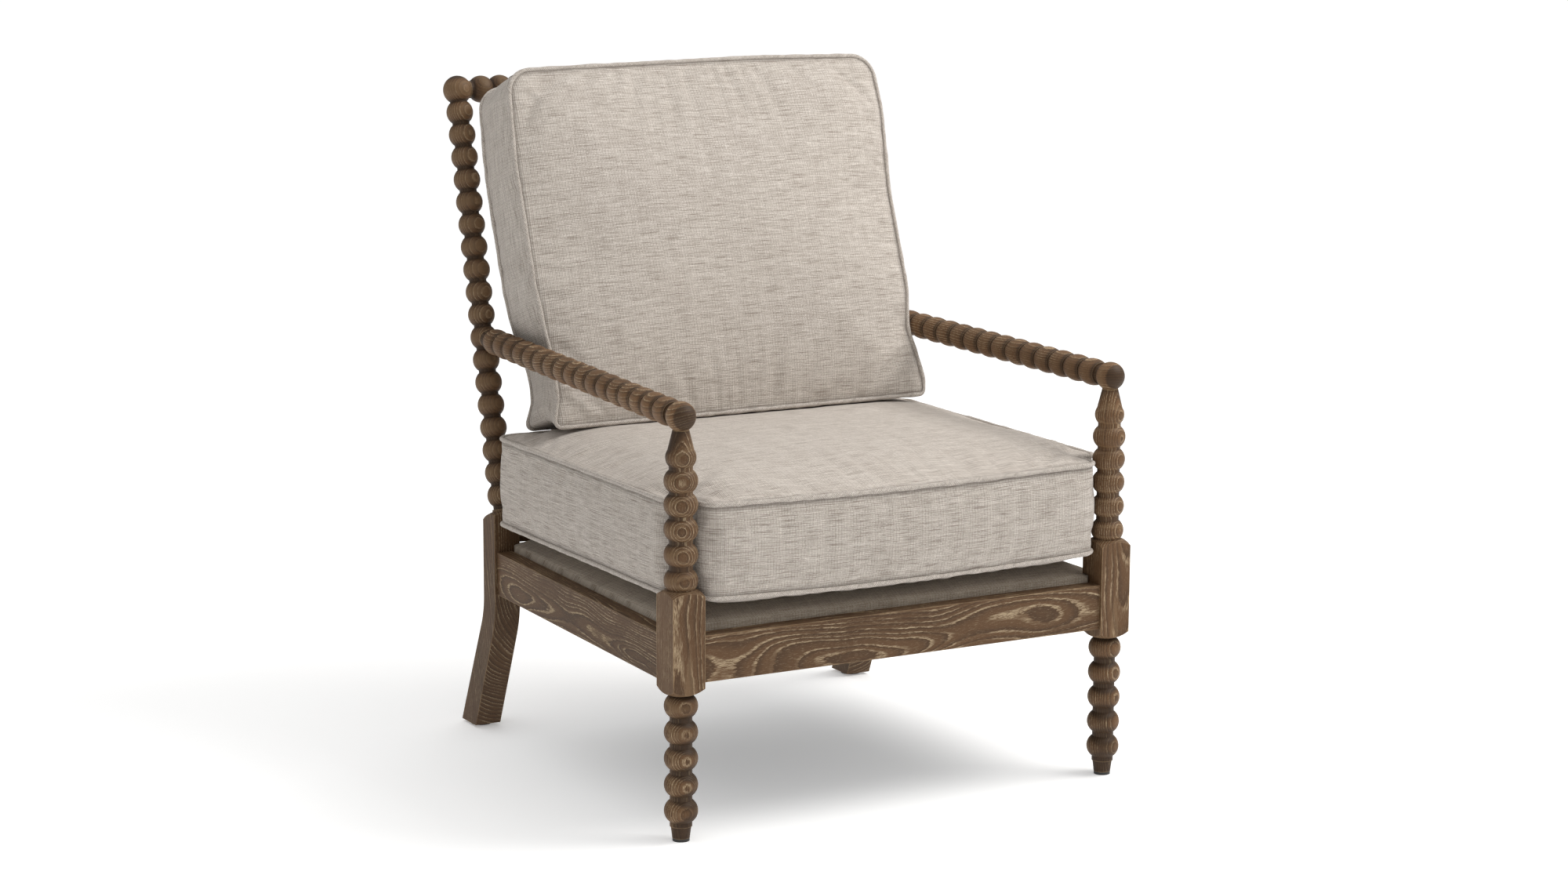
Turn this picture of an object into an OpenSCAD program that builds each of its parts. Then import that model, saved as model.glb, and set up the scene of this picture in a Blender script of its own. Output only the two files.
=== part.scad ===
// Spool-turned oak armchair with a sprung seat deck and two loose box cushions.
// Millimetres. +Z is up, the chair faces -Y, and X = 0 is its plane of symmetry.
// The origin is on the floor, at the middle of the chair's width and depth.

/* [Frame] */
// Width over the front leg blocks
frame_w = 722; // [700:1:740]
// Width over the rear leg blocks
rear_w = 678; // [660:1:684]
// From the front post's axis back to the middle of the rear leg block
leg_span = 591.5; // [580:0.5:600]
// Front post's axis, measured from the middle of the chair's depth
front_y = -372; // [-380:1:-364]
// Side of the square block on each front leg
front_block = 47.5; // [44:0.5:50]
// Side of the square block on each rear leg
rear_block = 40; // [36:0.5:42]

/* [Seat rails] */
// Top of the seat rails
rail_top = 279; // [274:1:284]
// Height of the seat rails
rail_h = 62.6; // [56:0.2:64]
// Thickness of the seat rails
rail_t = 24; // [20:0.5:26]
// How far the rails' outer faces sit back from the leg blocks
rail_setback = 4; // [2:0.5:6]

/* [Turned posts and arms] */
// Backward lean of the back posts, in degrees
rake = 14.75; // [12:0.25:17]
// Inward lean of each back post, in degrees
post_toe = 0.73; // [0:0.01:1.2]
// Length of a back post from the leg block to its top ball
post_len = 619; // [600:1:640]
// Spacing of the beads on the back posts and spindles
post_pitch = 33.1; // [32.5:0.1:33.5]
// Radius of a back post's beads
post_bead_r = 19.5; // [18:0.25:20]
// Spacing of the beads on the arms
arm_pitch = 35.5; // [35:0.1:35.8]
// Radius of an arm's beads
arm_bead_r = 19; // [18:0.25:20]
// Height of the middle of the ball at an arm's front end
arm_z = 570; // [566:1:574]
// Number of vertical spindles in the back
spindles = 5; // [5]

/* [Cushions] */
// Half width of the seat cushion between the front posts, over its welts
seat_nose_x = 311; // [300:0.5:311]
// Half width of the seat cushion behind the front posts, over its welts
seat_wing_x = 345; // [335:1:346]
// Underside of the seat cushion, where it rests on the deck
seat_bottom = 312.4; // [312.4:0.1:316]
// Height of the seat cushion's lower welt
seat_low_welt = 327; // [325:1:330]
// Height of the seat cushion's upper welt
seat_high_welt = 452; // [445:1:452]
// Backward lean of the back cushion, in degrees
back_lean = 18.3; // [17:0.1:18.5]
// Height of the back cushion's box
back_h = 509; // [490:1:512]
// Thickness of the back cushion's box
back_t = 118; // [110:1:119]
// Half width of the back cushion, over its welts
back_x = 294; // [280:1:294]

/* [Hidden] */
$fn = 48;

OAK = [0.45, 0.36, 0.28];
ARM_OAK = [0.52, 0.41, 0.30];
PLAIN_WOOD = [0.76, 0.64, 0.47];
STEEL = [0.62, 0.62, 0.64];
GLIDE = [0.08, 0.07, 0.07];
LINEN = [0.78, 0.74, 0.68];
FOAM = [0.93, 0.88, 0.70];
BLACK_CLOTH = [0.12, 0.12, 0.12];

fit = 0.05;          // radial clearance of tenons, dowels and screws in their holes
socket = 0.3;        // clearance where an end is hollowed to sit against a turned ball
glide_h = 4;         // thickness of a foot glide
rail_low = rail_top - rail_h;

// Front legs
post_x = frame_w / 2 - front_block / 2;
front_in_x = frame_w / 2 - front_block;
front_back_y = front_y + front_block / 2;
block_low = 196.7;   // lowest and highest points of the block's domed shoulders, on the axis
block_high = 344.3;
dome_r = 52;
leg_bead_r = 22.75;
leg_bead_arc = 17.9;
leg_neck_r = 15;
low_pitch = 35.7;
low_beads = [for (k = [0:4]) [41.2 + low_pitch * k, leg_bead_r]];
high_pitch = 34.6;
high_taper = 0.95;   // each gap between the upper beads is this much shorter than the one below
high_beads = [for (k = [0:4]) [352.6 + high_pitch * k - high_taper * k * (k - 1) / 2, leg_bead_r]];
cup_z = 516.3;       // the small bead under the vase neck
cup_r = 20.5;
ball_r = 20;
leg_tenon_r = 8;

// Rear legs and back posts
rear_x = rear_w / 2 - rear_block / 2;
rear_in_x = rear_w / 2 - rear_block;
rear_y = front_y + leg_span;
rear_front_y = rear_y - rear_block / 2 + 0.5;
leg_depth = 39;
post_base = [rear_x - 2, rear_y, 335];
top_ball_r = 21;
post_neck_r = 12.5;
post_tenon_r = 9;
post_tenon_l = 25;
bend_r = 150;        // radius of the rear leg's front edge where it starts to sweep back
bend_z = 209;
sweep = 22.5;        // angle at which the rear leg sweeps back below the bend
foot_depth = 48;
leg_top = 289;       // where the rear leg's domed top begins

// Top rail, spindle rail and spindles
top_bead_r = 19.8;
top_beads = 19;
first_gap = 37.6;    // from the post's ball to the rail's first bead
rail_tenon_r = 7;
spindle_bead_r = 16;
spindle_neck_r = 9.5;
spindle_tenon_r = 6;
spindle_rail_top = 330;
spindle_rail_h = 40;

// Arms
arm_first = 39.5;
arm_beads = 17;
arm_joint_bead = 11; // the arm meets this bead of the back post, counted down from its ball
arm_tenon_r = 8;

// Points along a back post, s millimetres above its foot, on the chair's right side
post_dir = [-cos(rake) * sin(post_toe), sin(rake), cos(rake) * cos(post_toe)];
function post_point(s) = post_base + s * post_dir;
top_point = post_point(post_len);
arm_front = [post_x, front_y, arm_z];
arm_back = post_point(post_len - arm_joint_bead * post_pitch);
arm_len = norm(arm_back - arm_front);

// Plan of the seat: the side rails run in towards the back
rail_front_x = frame_w / 2 - rail_setback;
rail_rear_x = rear_w / 2 - rail_setback;
function rail_x(y) = rail_front_x
    + (rail_rear_x - rail_front_x) * (y - front_back_y) / (rear_front_y - front_back_y);
function rail_in(y) = rail_x(y) - rail_t;
front_rail_y = front_y - front_block / 2 + rail_setback;
front_rail_in = front_rail_y + rail_t;
back_rail_out = rear_y + leg_depth / 2 - rail_setback;
back_rail_in = back_rail_out - rail_t;

// Seat deck, inside the rails
corner_low = 226;
deck_low = 250;
deck_high = 272;
strip_w = 45;
play = 1;
wire_r = 1.6;
wire_z = 275.2;
spring_front = front_rail_in + 26;
spring_rear = back_rail_in - 21;
spring_loops = 15;
spring_pitch = (spring_rear - spring_front) / spring_loops;
spring_half = 10;
spring_xs = [for (k = [-2:2]) k * 108];
pad_low = 277.5;
pad_steps = [[0, 290], [30, 303], [75, 312]]; // inset and top of each step of the domed pad
cloth = 3;

// Fasteners
dowel_r = 5;
dowel_zs = [232, 263];
dowel_depth = 25;
short_depth = 16;
spindle_dowel_z = 299;
screw_r = 2;
head_r = 4.5;
head_h = 3;
screw_z = 238;
head_stand = 20;     // how far a corner block screw's head stands off the rail
screw_bite = 15;

// Seat cushion
seat_front = -396;
seat_wing_front = -341;
seat_rear = 187;
seat_crown_rear = 52; // the crown stops here, in front of the back cushion
welt = 4;
welt_w = 5;
cover_t = 2;
seat_bulge_in = 40;
seat_crown_steps = [[18, 472], [39, 482]];

// Back cushion, in its own leaning frame: x across, y through it to the rear, z up it
back_origin = [0, 68.6, 491];
back_corner_r = 34;
front_crown = 22;
rear_crown = 20;
top_crown = 12;

// Zips
zip_half = 240;
zip_w = 14;
zip_t = 2;
slider_home = -230;
slider_gap = 0.3;
slider_size = [12, 5, 10];
seat_zip_z = 390;
back_zip_y = 59;

// ---------- shared shapes ----------

module on_side(s) {
    mirror([s < 0 ? 1 : 0, 0, 0]) children();
}

module along(a, b) {
    v = b - a;
    translate(a) rotate([0, acos(v[2] / norm(v)), atan2(v[1], v[0])]) children();
}

// A frame whose z runs up the right back post
module on_post() {
    translate(post_base) rotate([-rake, 0, 0]) rotate([0, -post_toe, 0]) children();
}

// A frame whose z runs up the plane of the back, at a given x
module on_back(x) {
    translate([x, rear_y, post_base[2]]) rotate([-rake, 0, 0]) children();
}

// A frame that leans with the back cushion
module on_cushion() {
    translate(back_origin) rotate([-back_lean, 0, 0]) children();
}

// One bead's outline: an arc that bulges to r, no longer than 2 * half
module bead_outline(r, arc_r, half, core) {
    intersection() {
        translate([r - arc_r, 0]) circle(arc_r);
        translate([core, -half]) square([r, 2 * half]);
    }
}

// A turned length: beads given as [height, radius] on a neck from low to high
module turned(beads, arc_r, half, neck_r, low, high) {
    rotate_extrude() {
        for (b = beads)
            translate([0, b[0]]) bead_outline(b[1], arc_r, half, neck_r - 2);
        translate([0, low]) square([neck_r, high - low]);
    }
}

module rod(r, low, high) {
    translate([0, 0, low]) cylinder(r = r, h = high - low);
}

module slab(low, high) {
    translate([0, 0, low]) linear_extrude(high - low) children();
}

module rounded(x0, y0, x1, y1, r) {
    translate([x0 + r, y0]) square([x1 - x0 - 2 * r, y1 - y0]);
    translate([x0, y0 + r]) square([x1 - x0, y1 - y0 - 2 * r]);
    for (x = [x0 + r, x1 - r], y = [y0 + r, y1 - r])
        translate([x, y]) circle(r);
}

// ---------- fasteners and their holes, on the right side ----------

module rail_end_dowels(end, r) {
    rail_y = end < 0 ? (front_rail_y + front_rail_in) / 2 : (back_rail_in + back_rail_out) / 2;
    block_x = end < 0 ? front_in_x : rear_in_x;
    side_y = end < 0 ? front_back_y : rear_front_y;
    depth = end < 0 ? dowel_depth : short_depth;
    for (z = dowel_zs) {
        translate([block_x - dowel_depth, rail_y, z]) rotate([0, 90, 0])
            cylinder(r = r, h = dowel_depth + depth);
        translate([rail_x(side_y) - rail_t / 2, side_y - dowel_depth, z]) rotate([-90, 0, 0])
            cylinder(r = r, h = 2 * dowel_depth);
    }
}

module spindle_rail_dowel(r) {
    translate([rear_in_x - dowel_depth, post_base[1] - 2, spindle_dowel_z]) rotate([0, 90, 0])
        cylinder(r = r, h = dowel_depth + short_depth);
}

// A corner block's two screws, each on a z axis that points out of the rail
module at_block_screws(end) {
    rail_face = end < 0 ? front_rail_in : back_rail_in;
    screw_x = end < 0 ? 265 : 255;
    side_y = rail_face - 80 * end;
    translate([screw_x, rail_face, screw_z]) rotate([end * 90, 0, 0]) children();
    translate([rail_in(side_y), side_y, screw_z]) rotate([0, -90, 0]) children();
}

module block_screw(grow, head_room) {
    rod(screw_r + grow, -screw_bite - grow, head_stand);
    rod(head_r + grow, head_stand, head_stand + head_h + head_room);
}

module at_deck_screw(end) {
    translate([end < 0 ? 285 : 270, end < 0 ? front_rail_in + 28 : back_rail_in - 28, 0]) children();
}

module deck_screw(grow) {
    rod(head_r, corner_low - head_h, corner_low);
    rod(screw_r + grow, corner_low, deck_low + 14 + grow);
}

// ---------- legs, posts and arms ----------

module front_leg() {
    difference() {
        union() {
            rod_taper();
            turned(low_beads, leg_bead_arc, leg_bead_arc, leg_neck_r, 20, block_low + 8);
            front_leg_block();
            turned(high_beads, leg_bead_arc, leg_bead_arc, leg_neck_r + 0.8, block_high - 8, cup_z);
            turned([[cup_z, cup_r]], leg_bead_arc - 1, 12.5, leg_neck_r, cup_z - 14, cup_z + 10);
            translate([0, 0, cup_z + 8]) cylinder(r1 = 18, r2 = 10.2, h = arm_z - 14 - cup_z - 8);
        }
        translate([0, 0, arm_z]) sphere(ball_r + 2 * fit);
        rod(1.25 + fit, 0, glide_h + 15.1);
    }
    rod(leg_tenon_r, arm_z - ball_r, arm_z - 4);
}

module rod_taper() {
    translate([0, 0, glide_h]) cylinder(r1 = 11.75, r2 = 14, h = 18);
}

module front_leg_block() {
    intersection() {
        translate([-front_block / 2, -front_block / 2, block_low])
            cube([front_block, front_block, block_high - block_low]);
        union() {
            translate([0, 0, block_low + dome_r]) sphere(dome_r, $fn = 96);
            translate([0, 0, block_high - dome_r]) sphere(dome_r, $fn = 96);
            translate([0, 0, block_low + dome_r])
                cylinder(r = dome_r, h = block_high - block_low - 2 * dome_r, $fn = 96);
        }
    }
}

module drilled_front_leg() {
    color(OAK) difference() {
        translate([post_x, front_y, 0]) front_leg();
        rail_end_dowels(-1, dowel_r + fit);
    }
}

// Side view of the rear leg: x is the chair's y, and y is its z
module rear_leg_sweep() {
    front = rear_front_y;
    centre = [front + bend_r, bend_z];
    inner_r = bend_r - leg_depth;
    arc_front = centre + bend_r * [-cos(sweep), -sin(sweep)];
    arc_rear = centre + inner_r * [-cos(sweep), -sin(sweep)];
    foot_front = arc_front[0] + (arc_front[1] - glide_h) * tan(sweep);
    foot_rear = foot_front + foot_depth;
    difference() {
        union() {
            translate(centre) circle(bend_r);
            polygon([
                [front, leg_top], [front, bend_z], arc_front, [foot_front, glide_h],
                [foot_rear, glide_h], [foot_rear, leg_top]
            ]);
        }
        translate(centre) circle(inner_r);
        polygon([
            [front + leg_depth, leg_top + 99], [front + leg_depth, bend_z], arc_rear,
            [foot_rear, glide_h], [foot_rear + 300, glide_h], [foot_rear + 300, leg_top + 99]
        ]);
        translate([front - 10, leg_top]) square([99, 99]);
    }
}

function foot_middle() = rear_front_y + bend_r * (1 - cos(sweep))
    + (bend_z - bend_r * sin(sweep) - glide_h) * tan(sweep) + foot_depth / 2;

module rear_leg() {
    color(OAK) difference() {
        union() {
            translate([rear_x, 0, 0]) rotate([90, 0, 90])
                linear_extrude(rear_block, center = true) rear_leg_sweep();
            intersection() {
                translate([rear_x - rear_block / 2, rear_front_y, leg_top])
                    cube([rear_block, leg_depth, 60]);
                on_post() {
                    translate([0, 0, 2.2 - dome_r]) sphere(dome_r, $fn = 96);
                    rod(dome_r, -150, 2.2 - dome_r, $fn = 96);
                }
            }
        }
        on_post() {
            rod(15.5, 0, 10);
            rod(post_tenon_r + fit, -post_tenon_l - fit, 1);
        }
        rail_end_dowels(1, dowel_r + fit);
        spindle_rail_dowel(dowel_r + fit);
        translate([rear_x, foot_middle(), 0]) rod(1.25 + fit, 0, glide_h + 15.1);
    }
}

module back_post() {
    post_beads = [for (k = [1:18]) [post_len - post_pitch * k, post_bead_r]];
    color(OAK) difference() {
        on_post() {
            turned(post_beads, post_bead_r, post_pitch / 2, post_neck_r, 0, post_len - 10);
            translate([0, 0, post_len]) sphere(top_ball_r);
            rod(14.5, 0, 3);
            rod(post_tenon_r, -post_tenon_l, 1);
        }
        along(arm_front, arm_back) {
            rod(arm_tenon_r + fit, arm_len - 30, arm_len - 1);
            rod(screw_r + fit, arm_len - 2, arm_len + 6);
            rod(dowel_r + fit, arm_len + 6, arm_len + 30);
        }
        translate([top_point[0] - 30, top_point[1], top_point[2]]) rotate([0, 90, 0])
            cylinder(r = rail_tenon_r + fit, h = 25);
    }
}

// The top rail's outline, hollowed at both ends to sit on the posts' balls
module top_rail_outline(half) {
    pitch = 2 * (half - first_gap) / (top_beads - 1);
    difference() {
        union() {
            for (k = [0:top_beads - 1])
                translate([0, first_gap - half + pitch * k])
                    bead_outline(top_bead_r, top_bead_r, 17, 10.7);
            translate([0, 5 - half]) square([12.7, 2 * half - 10]);
        }
        for (s = [-1, 1])
            translate([0, s * half]) circle(top_ball_r + socket);
    }
}

module top_rail() {
    half = top_point[0];
    color(OAK) difference() {
        translate([0, top_point[1], top_point[2]]) rotate([0, 90, 0]) {
            rotate_extrude() top_rail_outline(half);
            rod(rail_tenon_r, 5.5 - half, half - 5.5);
        }
        for (k = [1:spindles])
            on_back(spindle_x(k)) rod(spindle_tenon_r + fit, post_len - 40, post_len - 3.9);
    }
}

function spindle_x(k) = 2 * post_base[0] * (k / (spindles + 1) - 0.5);

module back_spindle(k) {
    beads = [for (j = [1:18]) [post_len - post_pitch * j, spindle_bead_r]];
    color(OAK) union() {
        difference() {
            on_back(spindle_x(k))
                turned(beads, spindle_bead_r, 14, spindle_neck_r, -15, post_len - 12);
            translate([0, top_point[1], top_point[2]]) rotate([0, 90, 0])
                rod(top_bead_r + 2 * fit, -rear_w / 2, rear_w / 2);
            translate([-rear_w / 2, rear_y - 60, spindle_rail_top - 60]) cube([rear_w, 120, 60]);
        }
        on_back(spindle_x(k)) rod(spindle_tenon_r, -22, post_len - 4);
    }
}

module spindle_rail() {
    color(OAK) difference() {
        translate([-rear_in_x, post_base[1] - 14, spindle_rail_top - spindle_rail_h])
            cube([2 * rear_in_x, rail_t, spindle_rail_h]);
        for (k = [1:spindles])
            on_back(spindle_x(k)) rod(spindle_tenon_r + fit, -22.1, 10);
        for (s = [-1, 1])
            on_side(s) spindle_rail_dowel(dowel_r + fit);
    }
}

module arm() {
    beads = [for (k = [0:arm_beads - 1]) [arm_first + arm_pitch * k, arm_bead_r]];
    color(ARM_OAK) difference() {
        union() {
            difference() {
                along(arm_front, arm_back) {
                    turned(beads, 2 * arm_bead_r, 16.6, 13, 5, arm_len - 8);
                    sphere(ball_r);
                }
                translate(arm_back) sphere(post_bead_r + socket);
            }
            along(arm_front, arm_back) rod(arm_tenon_r, arm_len - 30, arm_len - 1.1);
        }
        translate([post_x, front_y, 0]) rod(leg_tenon_r + fit, arm_z - 30, arm_z - 3.9);
        along(arm_front, arm_back) rod(screw_r + fit, arm_len - 38.1, arm_len);
    }
}

// ---------- seat rails and corner blocks ----------

module front_rail() {
    color(OAK) difference() {
        translate([-front_in_x, front_rail_y, rail_low]) cube([2 * front_in_x, rail_t, rail_h]);
        for (s = [-1, 1])
            on_side(s) {
                rail_end_dowels(-1, dowel_r + fit);
                at_block_screws(-1) block_screw(fit, 0);
            }
    }
}

module back_rail() {
    color(OAK) difference() {
        translate([-rear_in_x, back_rail_in, rail_low]) cube([2 * rear_in_x, rail_t, rail_h]);
        for (s = [-1, 1])
            on_side(s) {
                rail_end_dowels(1, dowel_r + fit);
                at_block_screws(1) block_screw(fit, 0);
            }
    }
}

module side_rail() {
    color(OAK) difference() {
        slab(rail_low, rail_top) polygon([
            [rail_in(front_back_y), front_back_y], [rail_x(front_back_y), front_back_y],
            [rail_x(rear_front_y), rear_front_y], [rail_in(rear_front_y), rear_front_y]
        ]);
        for (end = [-1, 1]) {
            rail_end_dowels(end, dowel_r + fit);
            at_block_screws(end) block_screw(fit, 0);
        }
    }
}

module corner_block(end) {
    face = end < 0 ? front_rail_in : back_rail_in;
    near = end < 0 ? 290 : 280;
    clear = end < 0 ? 42 : 34;
    color(PLAIN_WOOD) difference() {
        slab(corner_low, deck_low) polygon([
            [near, face], [near - 65, face],
            [rail_in(face - 106 * end), face - 106 * end], [rail_in(face - clear * end), face - clear * end]
        ]);
        at_block_screws(end) block_screw(fit, 40);
        at_deck_screw(end) deck_screw(fit);
    }
}

// ---------- seat deck ----------

module deck_frame_front() {
    color(PLAIN_WOOD) difference() {
        translate([play - front_in_x, front_rail_in + play, deck_low])
            cube([2 * (front_in_x - play), strip_w, deck_high - deck_low]);
        for (s = [-1, 1])
            on_side(s) at_deck_screw(-1) deck_screw(fit);
    }
}

module deck_frame_rear() {
    color(PLAIN_WOOD) difference() {
        translate([play - rear_in_x, back_rail_in - play - strip_w, deck_low])
            cube([2 * (rear_in_x - play), strip_w, deck_high - deck_low]);
        for (s = [-1, 1])
            on_side(s) at_deck_screw(1) deck_screw(fit);
    }
}

module deck_frame_side() {
    y0 = front_rail_in + play + strip_w;
    y1 = back_rail_in - play - strip_w;
    color(PLAIN_WOOD) slab(deck_low, deck_high) polygon([
        [rail_in(y0) - play - strip_w, y0], [rail_in(y0) - play, y0],
        [rail_in(y1) - play, y1], [rail_in(y1) - play - strip_w, y1]
    ]);
}

// One zigzag spring: straight runs across, joined by half turns
module sinuous_spring() {
    for (k = [0:spring_loops])
        translate([-spring_half, spring_front + spring_pitch * k, wire_z]) rotate([0, 90, 0])
            cylinder(r = wire_r, h = 2 * spring_half, $fn = 16);
    for (k = [0:spring_loops - 1])
        translate([(k % 2 == 0 ? 1 : -1) * spring_half, spring_front + spring_pitch * (k + 0.5), wire_z])
            rotate([0, 0, k % 2 == 0 ? -90 : 90])
                rotate_extrude(angle = 180, $fn = 24)
                    translate([spring_pitch / 2, 0]) circle(wire_r, $fn = 16);
}

module seat_springs() {
    color(STEEL)
        for (x = spring_xs)
            translate([x, 0, 0]) sinuous_spring();
}

module spring_clips() {
    color(STEEL)
        for (x = spring_xs, y = [spring_front, spring_rear])
            difference() {
                translate([x - 9, y - 6, deck_high]) cube([18, 12, 5.3]);
                translate([x - 10, y, wire_z]) rotate([0, 90, 0])
                    cylinder(r = wire_r + fit, h = 20, $fn = 16);
            }
}

// Plan of the space inside the rails, with a step round each leg block
module deck_plan(inset) {
    x_front = front_in_x - play - inset;
    x_rear = rear_in_x - play - inset;
    y_front = front_back_y + play + inset;
    y_rear = rear_front_y - play - inset;
    right = [
        [x_front, front_rail_in + play + inset], [x_front, y_front],
        [rail_in(y_front) - play - inset, y_front], [rail_in(y_rear) - play - inset, y_rear],
        [x_rear, y_rear], [x_rear, back_rail_in - play - inset]
    ];
    polygon([for (p = right) p, for (k = [5:-1:0]) [-right[k][0], right[k][1]]]);
}

module deck_dome(grow) {
    for (k = [0:2])
        slab(pad_low, pad_steps[k][1] + grow) deck_plan(pad_steps[k][0] - grow);
}

module deck_pad() {
    color(FOAM) deck_dome(-cloth);
}

module deck_cover() {
    color(LINEN) difference() {
        union() {
            slab(deck_high, pad_low) deck_plan(0);
            deck_dome(0);
        }
        slab(deck_high - 1, pad_low + 1) deck_plan(cloth);
        deck_dome(-cloth);
    }
}

module dust_cover() {
    lap = 18;
    right = [
        [front_in_x - play, front_rail_in - lap], [front_in_x - play, front_back_y + play],
        [rail_in(front_back_y) + lap, front_back_y + play],
        [rail_in(rear_front_y) + lap, rear_front_y - play],
        [rear_in_x - play, rear_front_y - play], [rear_in_x - play, back_rail_in + lap]
    ];
    color(BLACK_CLOTH) slab(rail_low - 1, rail_low)
        polygon([for (p = right) p, for (k = [5:-1:0]) [-right[k][0], right[k][1]]]);
}

// ---------- seat cushion ----------

// Plan of the seat cushion: a nose between the front posts and wings behind them
module seat_plan(inset) {
    rounded(inset - seat_wing_x, seat_wing_front + inset, seat_wing_x - inset, seat_rear - inset, 18);
    rounded(inset - seat_nose_x, seat_front + inset, seat_nose_x - inset, seat_wing_front + 120, 16);
}

module seat_crown_plan(inset, grow) {
    intersection() {
        seat_plan(inset - grow);
        translate([-seat_wing_x, seat_front]) square([2 * seat_wing_x, seat_crown_rear + grow - seat_front]);
    }
}

// The cushion's body, grown or shrunk all round
module seat_body(grow) {
    slab(seat_bottom - grow, seat_low_welt + 5) seat_plan(welt + seat_bulge_in - grow);
    slab(seat_low_welt - grow, seat_high_welt + grow) seat_plan(welt - grow);
    for (step = seat_crown_steps)
        slab(seat_high_welt - 5, step[1] + grow) seat_crown_plan(step[0], grow);
}

module seat_foam() {
    color(FOAM) seat_body(-cover_t - fit);
}

module seat_cover() {
    color(LINEN) difference() {
        seat_body(0);
        seat_body(-cover_t);
    }
}

module seat_welt(z) {
    color(LINEN) slab(z - welt_w / 2, z + welt_w / 2) difference() {
        seat_plan(0);
        seat_plan(welt);
    }
}

module zipper_tape() {
    translate([-zip_half, 0, -zip_w / 2]) cube([2 * zip_half, zip_t, zip_w]);
}

// A slider and its pull tab, standing off the tape
module zip_slider() {
    translate([-slider_size[0] / 2, zip_t + slider_gap, -slider_size[2] / 2]) cube(slider_size);
    translate([slider_size[0] / 2, zip_t + slider_gap + 1.5, -3]) cube([20, 1.6, 6]);
}

module seat_zipper() {
    color(STEEL) translate([0, seat_rear - welt, seat_zip_z]) zipper_tape();
}

module seat_zip_slider() {
    color(STEEL) translate([slider_home, seat_rear - welt, seat_zip_z]) zip_slider();
}

// ---------- back cushion ----------

module back_plan(inset, r) {
    rounded(inset - back_x, inset, back_x - inset, back_h - inset, r);
}

// A slab through the cushion's thickness, its plan upright in the leaning frame
module back_slab(y0, y1) {
    translate([0, y1, 0]) rotate([90, 0, 0]) linear_extrude(y1 - y0) children();
}

module back_body(grow) {
    r = back_corner_r - welt;
    back_slab(-grow, back_t + grow) back_plan(welt - grow, r);
    back_slab(-front_crown - grow, back_t + rear_crown + grow) back_plan(45 - grow, r);
    back_slab(15 - grow, back_t - 15 + grow)
        rounded(40 - back_x - grow, 60, back_x - 40 + grow, back_h + top_crown + grow, r);
}

module back_fill() {
    color(FOAM) on_cushion() back_body(-cover_t - fit);
}

module back_cover() {
    color(LINEN) on_cushion() difference() {
        back_body(0);
        back_body(-cover_t);
    }
}

module back_welt(y) {
    color(LINEN) on_cushion() back_slab(y, y + welt_w) difference() {
        back_plan(0, back_corner_r);
        back_plan(welt, back_corner_r - welt);
    }
}

// A frame on the back cushion's underside, y pointing down out of the cushion
module under_back_cushion() {
    on_cushion() translate([0, back_zip_y, welt]) rotate([-90, 0, 0]) children();
}

module back_zipper() {
    color(STEEL) under_back_cushion() zipper_tape();
}

module back_zip_slider() {
    color(STEEL) under_back_cushion() translate([slider_home, 0, 0]) zip_slider();
}

// ---------- small parts ----------

module rail_dowels() {
    color(PLAIN_WOOD)
        for (s = [-1, 1])
            on_side(s) {
                rail_end_dowels(-1, dowel_r);
                rail_end_dowels(1, dowel_r);
                spindle_rail_dowel(dowel_r);
            }
}

module corner_block_screws() {
    color(STEEL)
        for (s = [-1, 1], end = [-1, 1])
            on_side(s) at_block_screws(end) block_screw(0, 0);
}

module deck_screws() {
    color(STEEL)
        for (s = [-1, 1], end = [-1, 1])
            on_side(s) at_deck_screw(end) deck_screw(0);
}

module arm_screws() {
    color(STEEL)
        for (s = [-1, 1])
            on_side(s) along(arm_front, arm_back) {
                rod(screw_r, arm_len - 38, arm_len + 6);
                rod(head_r, arm_len + 6, arm_len + 6 + head_h);
            }
}

module screw_plugs() {
    color(OAK)
        for (s = [-1, 1])
            on_side(s) along(arm_front, arm_back)
                rod(dowel_r, arm_len + 6.2 + head_h, arm_len + post_bead_r + 0.6);
}

module glide(r) {
    rod(r, 0, glide_h);
    rod(1.25, glide_h - 1, glide_h + 15);
}

module front_glides() {
    color(GLIDE)
        for (s = [-1, 1])
            on_side(s) translate([post_x, front_y, 0]) glide(11.5);
}

module rear_glides() {
    color(GLIDE)
        for (s = [-1, 1])
            on_side(s) translate([rear_x, foot_middle(), 0]) glide(15);
}

// ---------- the chair ----------

on_side(-1) drilled_front_leg();  // front_leg_left
on_side(1) drilled_front_leg();  // front_leg_right
on_side(-1) rear_leg();  // rear_leg_left
on_side(1) rear_leg();  // rear_leg_right
on_side(-1) back_post();  // back_post_left
on_side(1) back_post();  // back_post_right
top_rail();
spindle_rail();
for (k = [1:spindles]) {
    back_spindle(k);
}
on_side(-1) arm();  // arm_left
on_side(1) arm();  // arm_right
front_rail();
on_side(-1) side_rail();  // side_rail_left
on_side(1) side_rail();  // side_rail_right
back_rail();
on_side(-1) corner_block(-1);  // corner_block_front_left
on_side(1) corner_block(-1);  // corner_block_front_right
on_side(-1) corner_block(1);  // corner_block_rear_left
on_side(1) corner_block(1);  // corner_block_rear_right
rail_dowels();
corner_block_screws();
deck_screws();
arm_screws();
screw_plugs();
front_glides();
rear_glides();
deck_frame_front();
deck_frame_rear();
on_side(-1) deck_frame_side();  // deck_frame_left
on_side(1) deck_frame_side();  // deck_frame_right
seat_springs();
spring_clips();
deck_pad();
deck_cover();
dust_cover();
seat_cover();
seat_foam();
seat_welt(seat_high_welt);  // seat_top_welt
seat_welt(seat_low_welt);  // seat_bottom_welt
seat_zipper();
seat_zip_slider();
back_cover();
back_fill();
back_welt(0);  // back_front_welt
back_welt(back_t - welt_w);  // back_rear_welt
back_zipper();
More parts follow.
